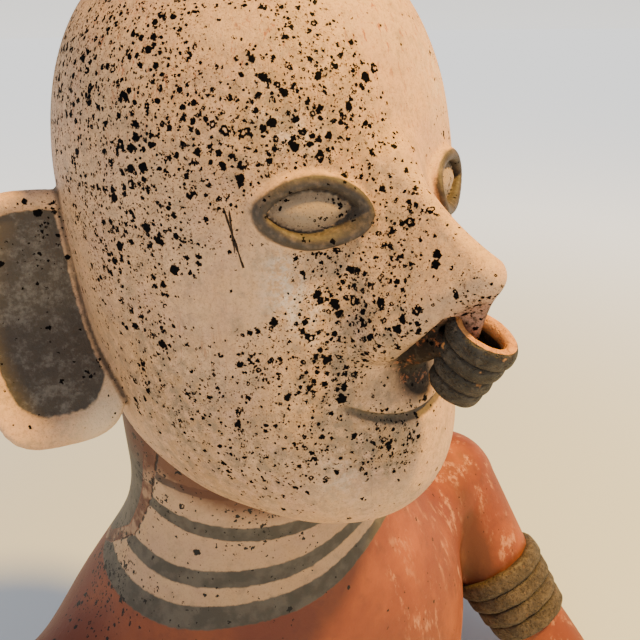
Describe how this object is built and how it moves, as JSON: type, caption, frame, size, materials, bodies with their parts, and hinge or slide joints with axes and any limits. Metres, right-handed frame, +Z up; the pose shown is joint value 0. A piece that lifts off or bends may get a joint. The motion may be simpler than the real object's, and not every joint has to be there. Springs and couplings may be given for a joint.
{
  "type": "ceramic figure bust",
  "caption": "Bust of a stylised hollow clay figure: long head, prow nose with a coiled ring, lens eyes in rope rims, tab ears, sloping shoulders and arm stumps with coiled bands.",
  "frame": {"origin": "middle of the trunk's flat underside", "axes": "+Z up, the face looks towards -Y, the figure's left side is +X"},
  "size_m": [0.3574, 0.2127, 0.4105],
  "materials": {
    "clay": "burnished slip, cream on the head and red-brown on the body, with dark mineral specks"
  },
  "bodies": {
    "root": {"figure": "clay"}
  },
  "joints": []
}
